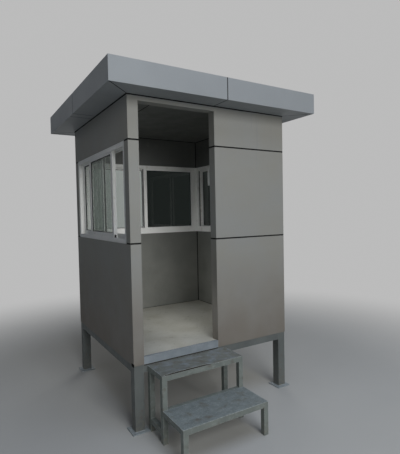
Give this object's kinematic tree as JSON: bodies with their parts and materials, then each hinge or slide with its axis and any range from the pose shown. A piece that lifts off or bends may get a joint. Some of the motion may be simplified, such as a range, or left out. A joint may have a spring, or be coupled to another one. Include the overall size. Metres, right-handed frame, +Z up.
{
  "type": "security guard booth",
  "caption": "Small panel-clad guard booth on four steel legs with sliding windows, an open doorway, a flat overhanging roof and a two-step unit.",
  "frame": {"origin": "centre of the rectangle of the four legs' outer anchor holes, at ground level", "axes": "+Z up; +X to the right along the front seen from outside; the doorway and the steps face -Y"},
  "size_m": [1.9, 2.24, 2.672],
  "materials": {
    "composite_panel": "satin silver-grey coil coating",
    "lining_panel": "satin grey coil coating",
    "frame_steel": "matt grey paint",
    "step_steel": "matt grey paint, worn",
    "window_profile": "white powder coat",
    "window_glass": "clear float glass",
    "floor_board": "bare cement board",
    "roof_sheet": "coated steel sheet",
    "switch_plastic": "white moulded plastic"
  },
  "bodies": {
    "root": {"corner_post_front_left": "frame_steel", "corner_post_front_right": "frame_steel", "corner_post_back_left": "frame_steel", "corner_post_back_right": "frame_steel", "door_post": "frame_steel", "floor_beams": "frame_steel", "floor_joists": "frame_steel", "floor_deck": "floor_board", "threshold": "step_steel", "head_beams": "frame_steel", "window_rails": "frame_steel", "front_post_cladding": "composite_panel", "front_right_lower_panel": "composite_panel", "front_right_middle_panel": "composite_panel", "front_right_upper_panel": "composite_panel", "front_header": "composite_panel", "front_lining": "lining_panel", "left_lower_panel": "composite_panel", "left_upper_panel": "composite_panel", "left_lining": "lining_panel", "left_window_frame": "window_profile", "left_window_sashes": "window_profile", "left_window_glass": "window_glass", "back_lower_panel": "composite_panel", "back_upper_panel": "composite_panel", "back_lining": "lining_panel", "back_window_frame": "window_profile", "back_window_sashes": "window_profile", "back_window_glass": "window_glass", "back_corner_trims": "composite_panel", "right_lower_panel": "composite_panel", "right_upper_panel": "composite_panel", "right_lining": "lining_panel", "right_window_frame": "window_profile", "right_window_sashes": "window_profile", "right_window_glass": "window_glass", "roof_joists": "frame_steel", "roof_rims": "frame_steel", "roof_deck": "roof_sheet", "roof_fascia": "composite_panel", "soffit": "composite_panel", "ceiling": "lining_panel", "step_frame": "step_steel", "step_treads": "step_steel", "switch_box": "switch_plastic"}
  },
  "joints": []
}
